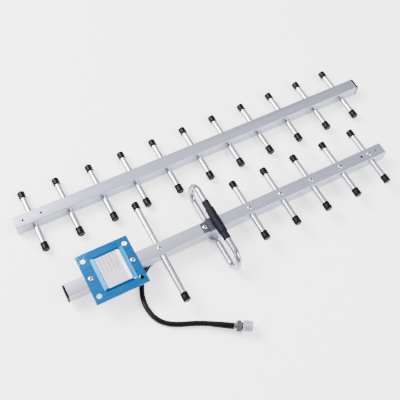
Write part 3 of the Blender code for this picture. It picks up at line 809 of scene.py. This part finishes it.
def shrink_sleeve():
    half = (sleeve_high.y - sleeve_low.y) / 2
    inner = TUBE_RADIUS + HAIR
    outline = [(-half, inner), (-half, SLEEVE_THIN - FIT)]
    for step in range(SLEEVE_STEPS + 1):
        along = (half - FIT) * (2 * step / SLEEVE_STEPS - 1)
        outline.append((along, sleeve_radius(along)))
    outline += [(half, SLEEVE_THIN - FIT), (half, inner)]
    mesh = turned(outline, Y, closed=True)
    for vertex in mesh.vertices:
        away = Vector((vertex.co.x, 0, vertex.co.z))
        if away.length > SLEEVE_THIN - 0.0003:
            swing = math.atan2(away.x, away.z)
            ripple = math.sin(3 * swing + vertex.co.y * 160) + 0.6 * math.sin(vertex.co.y * 900)
            vertex.co -= away.normalized() * RIPPLE * (1.6 + ripple)
        vertex.co += UPPER_BAR
    return mesh


piece("sleeve", shrink_sleeve(), SHRINK, REAR, "dipole_sleeve", angle=50)
print("sleeve", round((sleeve_high.y - sleeve_low.y) * 1000), "mm long")

# %% [markdown]
# The saddle clamps the sleeve to the top of the boom. It is a moulded block with a round groove,
# and one screw goes through the flange on its rear side.

# %% Saddle
BOOM_TOP = corners("rear_boom")[1].z
SADDLE_FOOT = BOOM_TOP + GAP
FLANGE_REACH, FLANGE_WIDTH, FLANGE_THICK, SADDLE_HEIGHT = 0.009, 0.016, 0.0019, 0.0052


def saddle():
    """A block with a round groove for the sleeve, and a flange on its rear side."""
    flange = box_mesh((saddle_low.x, REAR_Y - FLANGE_WIDTH / 2, SADDLE_FOOT),
                      (UPPER_BAR.x, REAR_Y + FLANGE_WIDTH / 2, SADDLE_FOOT + FLANGE_THICK))
    block = box_mesh((saddle_low.x + FLANGE_REACH, saddle_low.y, SADDLE_FOOT),
                     (saddle_high.x, saddle_high.y, SADDLE_FOOT + SADDLE_HEIGHT))
    reach = saddle_high.y - saddle_low.y
    groove = rod(SLEEVE_THICK + FIT, -reach, reach, Y, UPPER_BAR)
    return boolean(boolean(flange, block, "UNION"), groove)


piece("saddle", saddle(), SADDLE_PLASTIC, REAR, "dipole_saddle", edge=0.0004, angle=40)
saddle_seat = Vector((saddle_low.x + SADDLE_SCREW, REAR_Y, SADDLE_FOOT + FLANGE_THICK))
set_screw("saddle_screw", saddle_seat, REAR, twist=-10)
print("saddle on the boom at", round(BOOM_TOP * 1000, 1), "mm")

# %% [markdown]
# ## The mounting plate
# A square plate is pressed so that a raised panel stands in its middle, which stiffens it. Its
# section is drawn as one sheet: the panel is a rounded frustum joined to the plate, hollow below.

# %% Plate
plate_low, plate_high = corners("mounting_plate")
PLATE_SIDE, PLATE_THICK, PANEL_RISE = plate_high.x - plate_low.x, 0.002, 0.0022
PLATE_FOOT = BOOM_TOP + GAP
PLATE_TOP = PLATE_FOOT + PLATE_THICK
PLATE_CORNER, PLATE_HOLE, PLATE_HOLE_X, PLATE_HOLE_Y = 0.0008, 0.00375, 0.032, 0.029
PANEL_LENGTH, PANEL_WIDTH, PANEL_FORWARD, PANEL_CORNER = 0.050, 0.056, 0.002, 0.003
SHEET_INSET = 0.001               # the hollow is this much smaller than the panel all round
LEANS = (0.0065, 0.0060, 0.0014, 0.0035)      # of the rear, forward, near and far sides
PANEL_PROFILE = ((0, 0), (0.06, 0.02), (0.12, 0.07), (0.88, 0.93), (0.94, 0.98), (1, 1))


def raised_panel(inset, foot, rise):
    """A low block with round corners whose four sides lean in by different amounts."""
    rings = []
    for share, lift in PANEL_PROFILE:
        rear, forward, near, far = (inset + lean * share for lean in LEANS)
        outline = rounded_rectangle(PANEL_LENGTH - rear - forward, PANEL_WIDTH - near - far,
                                    PANEL_CORNER - inset, 6)
        middle = Vector((PLATE.x + PANEL_FORWARD + (rear - forward) / 2,
                         PLATE.y + (near - far) / 2))
        rings.append([(middle.x + u, middle.y + v, foot + rise * lift) for u, v in outline])
    return skinned(rings)


def mounting_plate():
    """The sheet with its pressed panel and four holes."""
    sheet = prism(rounded_rectangle(PLATE_SIDE, PLATE_SIDE, PLATE_CORNER, 3),
                  [PLATE_FOOT, PLATE_TOP],
                  lambda stop, u, v: Vector((PLATE.x + u, PLATE.y + v, stop)))
    panel = raised_panel(0, PLATE_TOP - HAIR, PANEL_RISE + HAIR)
    hollow = raised_panel(SHEET_INSET, PLATE_FOOT - HAIR, PANEL_RISE + HAIR)
    plate = boolean(boolean(sheet, panel, "UNION"), hollow)
    holes = [upright_drill(PLATE.x + u * PLATE_HOLE_X, PLATE.y + v * PLATE_HOLE_Y,
                           PLATE_FOOT - 0.001, PLATE_TOP + 0.001, PLATE_HOLE)
             for u in (-1, 1) for v in (-1, 1)]
    return boolean(plate, merged(holes))


plate_mesh = mounting_plate()
piece("plate", plate_mesh, PLATE_FILM, REAR, "mounting_plate", edge=0.0003, angle=40)
for face in plate_mesh.polygons:
    face.use_smooth = abs(face.normal.z) < 0.9999
print("plate", round(PLATE_SIDE * 1000), "mm square")

# %% Plate screws and label
LABEL_THICK, LABEL_CORNER = 0.00025, 0.0018
LABEL_SHIFT = Vector((0.00225, -0.0010, 0))

for side, label in ((-1, "rear"), (1, "forward")):
    seat = Vector((PLATE.x + side * PLATE_SCREW, PLATE.y, PLATE_TOP))
    set_screw(f"plate_{label}_screw", seat, REAR, twist=35 * side)
label_mesh = prism(rounded_rectangle(LABEL_LENGTH, LABEL_WIDTH, LABEL_CORNER), [0, LABEL_THICK],
                   lambda stop, u, v: Vector((u, v, stop)))
label_at = Vector((PLATE.x, PLATE.y, PLATE_TOP + PANEL_RISE)) + LABEL_SHIFT
piece("label", label_mesh, LABEL_FOIL, REAR, where=Matrix.Translation(label_at))
print("label", round(LABEL_LENGTH * 1000, 1), "by", round(LABEL_WIDTH * 1000, 1), "mm")

# %% [markdown]
# ## The connector
# The lead ends in a plug of the kind used on radio masts. Its nut turns on the body and hides most
# of it, so the body is turned in one outline with a ferrule, a hexagon, a barrel and a shoulder,
# and the nut is turned round it with a fluted grip.

# %% Connector body and pin
PLUG_LENGTH, NUT_LENGTH, NUT_BORE, NECK = 0.0256, 0.0134, 0.0082, 0.0072
NUT_START = PLUG_LENGTH - NUT_LENGTH
FERRULE, FERRULE_RADIUS = 0.0030, 0.0052
HEX, HEX_RADIUS, HEX_ROUND, HEX_END_SHARE = 0.0070, 0.0092, 0.0008, 0.86
CORE_RADIUS, CORE_SWELL, UNDERCUT_RADIUS, UNDERCUT = 0.0058, 0.0066, 0.0062, 0.0006
SHOULDER, SHOULDER_THICK = 0.0023, 0.0016     # from where the nut starts
BARREL_RADIUS, BARREL_BORE, BARREL_SET = 0.0040, 0.0032, 0.0050
PIN_RADIUS, PIN_POINT, PIN_SET = 0.0008, 0.0003, 0.0060


def plug_body():
    """The body in one turned outline, with a rounded hexagon joined to it."""
    shoulder, hex_end = NUT_START + SHOULDER, FERRULE + HEX
    face, barrel_end = shoulder + SHOULDER_THICK, PLUG_LENGTH - BARREL_SET
    outline = [(0, 0), (0, CABLE_RADIUS), (0, FERRULE_RADIUS - GAP), (GAP, FERRULE_RADIUS),
               (FERRULE - 2 * FIT, FERRULE_RADIUS), (FERRULE, CORE_RADIUS),
               (hex_end, CORE_SWELL), (hex_end + UNDERCUT, UNDERCUT_RADIUS),
               (hex_end + 2 * UNDERCUT, NECK), (shoulder, NECK), (shoulder, NUT_BORE - GAP),
               (face, NUT_BORE - GAP), (face, BARREL_RADIUS), (barrel_end - GAP, BARREL_RADIUS),
               (barrel_end, BARREL_RADIUS - GAP), (barrel_end, BARREL_BORE), (face, BARREL_BORE),
               (face, 0)]
    core = turned(outline, PLUG_WAY, PLUG_START)
    flats = rod(HEX_RADIUS, FERRULE + FIT, hex_end - 2 * FIT, PLUG_WAY, PLUG_START, 6)
    end, end_radius = hex_end - FIT, HEX_RADIUS * HEX_END_SHARE
    rounding = turned([(FERRULE, 0), (FERRULE, end_radius), (FERRULE + HEX_ROUND, HEX_RADIUS),
                       (end - HEX_ROUND, HEX_RADIUS), (end, end_radius), (end, 0)],
                      PLUG_WAY, PLUG_START)
    return boolean(core, boolean(flats, rounding, "INTERSECT"), "UNION")


piece("plug_body", plug_body(), DARK_NICKEL, REAR, "connector_body", angle=30)
pin_start, pin_end = NUT_START + 0.003, PLUG_LENGTH - PIN_SET
pin = [(pin_start, 0), (pin_start, PIN_RADIUS), (pin_end - 0.001, PIN_RADIUS),
       (pin_end - FIT, PIN_POINT), (pin_end, 0)]
piece("plug_pin", turned(pin, PLUG_WAY, PLUG_START), ZINC, REAR)
print("plug", round(PLUG_LENGTH * 1000, 1), "mm long")

# %% [markdown]
# The nut is turned with a groove for each turn of its thread, and its grip has rows of points
# along it. Pushing those rows in by a wave round the axis makes the flutes, with four sides of the
# turning to each flute.

# %% Coupling nut
NUT_RADIUS, FLUTES, FLUTE_DEPTH = 0.01025, 36, 0.00009
THREADS, THREAD_START, THREAD_PITCH, THREAD_DEPTH = 7, 0.0052, 0.0010, 0.0004
GRIP_START, GRIP_LENGTH, GRIP_ROWS = 0.0012, 0.0085, 6
MOUTH_START, MOUTH_STEP, MOUTH_CHAMFER = 0.0102, 0.0006, 0.0007
RIM_DROP, NUT_FLOOR = 0.0008, 0.0021


def nut_outline():
    """The nut's section, from its rear rim over the grip to its mouth and back down its bore."""
    grip, mouth = NUT_START + GRIP_START, NUT_RADIUS - MOUTH_STEP
    outline = [(NUT_START, NECK + FIT), (NUT_START, NUT_RADIUS - RIM_DROP),
               (NUT_START + GRIP_START / 2, NUT_RADIUS - HAIR)]
    outline += [(grip + GRIP_LENGTH * row / GRIP_ROWS, NUT_RADIUS) for row in range(GRIP_ROWS + 1)]
    outline += [(NUT_START + MOUTH_START, mouth), (PLUG_LENGTH - MOUTH_CHAMFER, mouth),
                (PLUG_LENGTH, mouth - MOUTH_STEP), (PLUG_LENGTH, NUT_BORE + FIT)]
    for number in reversed(range(THREADS)):
        crest = NUT_START + THREAD_START + number * THREAD_PITCH
        outline += [(crest + THREAD_PITCH / 2, NUT_BORE - THREAD_DEPTH), (crest, NUT_BORE)]
    return outline + [(NUT_START + NUT_FLOOR, NUT_BORE), (NUT_START + NUT_FLOOR, NECK + FIT)]


def coupling_nut():
    """The nut's sleeve, with shallow flutes pressed into its grip."""
    mesh = turned(nut_outline(), PLUG_WAY, PLUG_START, 4 * FLUTES, closed=True)
    grip = NUT_START + GRIP_START
    for vertex in mesh.vertices:
        along = (vertex.co - PLUG_START).dot(PLUG_WAY)
        out = vertex.co - PLUG_START - PLUG_WAY * along
        if out.length > NUT_RADIUS - FIT and grip - FIT < along < grip + GRIP_LENGTH + HAIR:
            swing = math.atan2(out.z, out.dot(PLUG_WAY.cross(Z)))
            vertex.co -= out.normalized() * FLUTE_DEPTH * (1 - math.cos(FLUTES * swing))
    return mesh


piece("nut", coupling_nut(), NICKEL, NUT, "coupling_nut", angle=30)
print("nut", round(2000 * NUT_RADIUS, 1), "mm across, with", FLUTES, "flutes")

# %% [markdown]
# ## Studio
# Bright metal shows whatever is round it, so the room matters more than the lamps. The floor is
# pale and glows a little, which keeps it near white under soft light that doesn't burn out the
# rods. Two large lamps stand high on opposite sides, and two weak ones soften what is left.

# %% Floor
FLOOR_GREY, FLOOR_GLOW, FLOOR_REACH = (0.95, 0.95, 0.95, 1), 1.1, 4


def floor():
    """A wide pale floor that glows, under everything."""
    paint = Paint("floor", Metallic=0.0, Roughness=0.6, Base_Color=FLOOR_GREY,
                  Emission_Color=(1, 1, 1, 1), Emission_Strength=FLOOR_GLOW)
    shape = bmesh.new()
    bmesh.ops.create_grid(shape, x_segments=1, y_segments=1, size=FLOOR_REACH)
    ground = bpy.data.objects.new("floor", mesh_from(shape))
    ground.data.materials.append(paint.material)
    bpy.context.collection.objects.link(ground)


floor()
print("floor reaches", FLOOR_REACH, "m each way")

# %% Lights and room
COOL = (0.96, 0.97, 1.0)
LIGHTS = (     # name, place, width and height, watts, colour
    ("key", (-1.1, 1.3, 1.7), (1.4, 1.2), 170, (1, 1, 1)),
    ("fill", (1.2, -1.3, 1.7), (1.4, 1.2), 90, (0.97, 0.98, 1.0)),
    ("over", (0.45, 0.75, 1.8), (1.6, 1.6), 10, COOL),
    ("left", (-1.7, -0.2, 1.0), (1.0, 1.0), 10, COOL),
)
ROOM_COLOUR, ROOM_STRENGTH = (0.84, 0.85, 0.93, 1), 0.75

for name, place, size, power, tint in LIGHTS:
    lamp = bpy.data.lights.new(name, "AREA")
    lamp.shape, lamp.size, lamp.size_y = "RECTANGLE", *size
    lamp.energy, lamp.color = power, tint
    made = bpy.data.objects.new(name, lamp)
    made.location = place
    made.rotation_euler = (-Vector(place)).to_track_quat("-Z", "Y").to_euler()
    bpy.context.collection.objects.link(made)
room = bpy.data.worlds.new("room")
room.use_nodes = True
background = room.node_tree.nodes["Background"]
background.inputs["Color"].default_value = ROOM_COLOUR
background.inputs["Strength"].default_value = ROOM_STRENGTH
bpy.context.scene.world = room
print("lit by", len(bpy.data.lights), "soft lights")
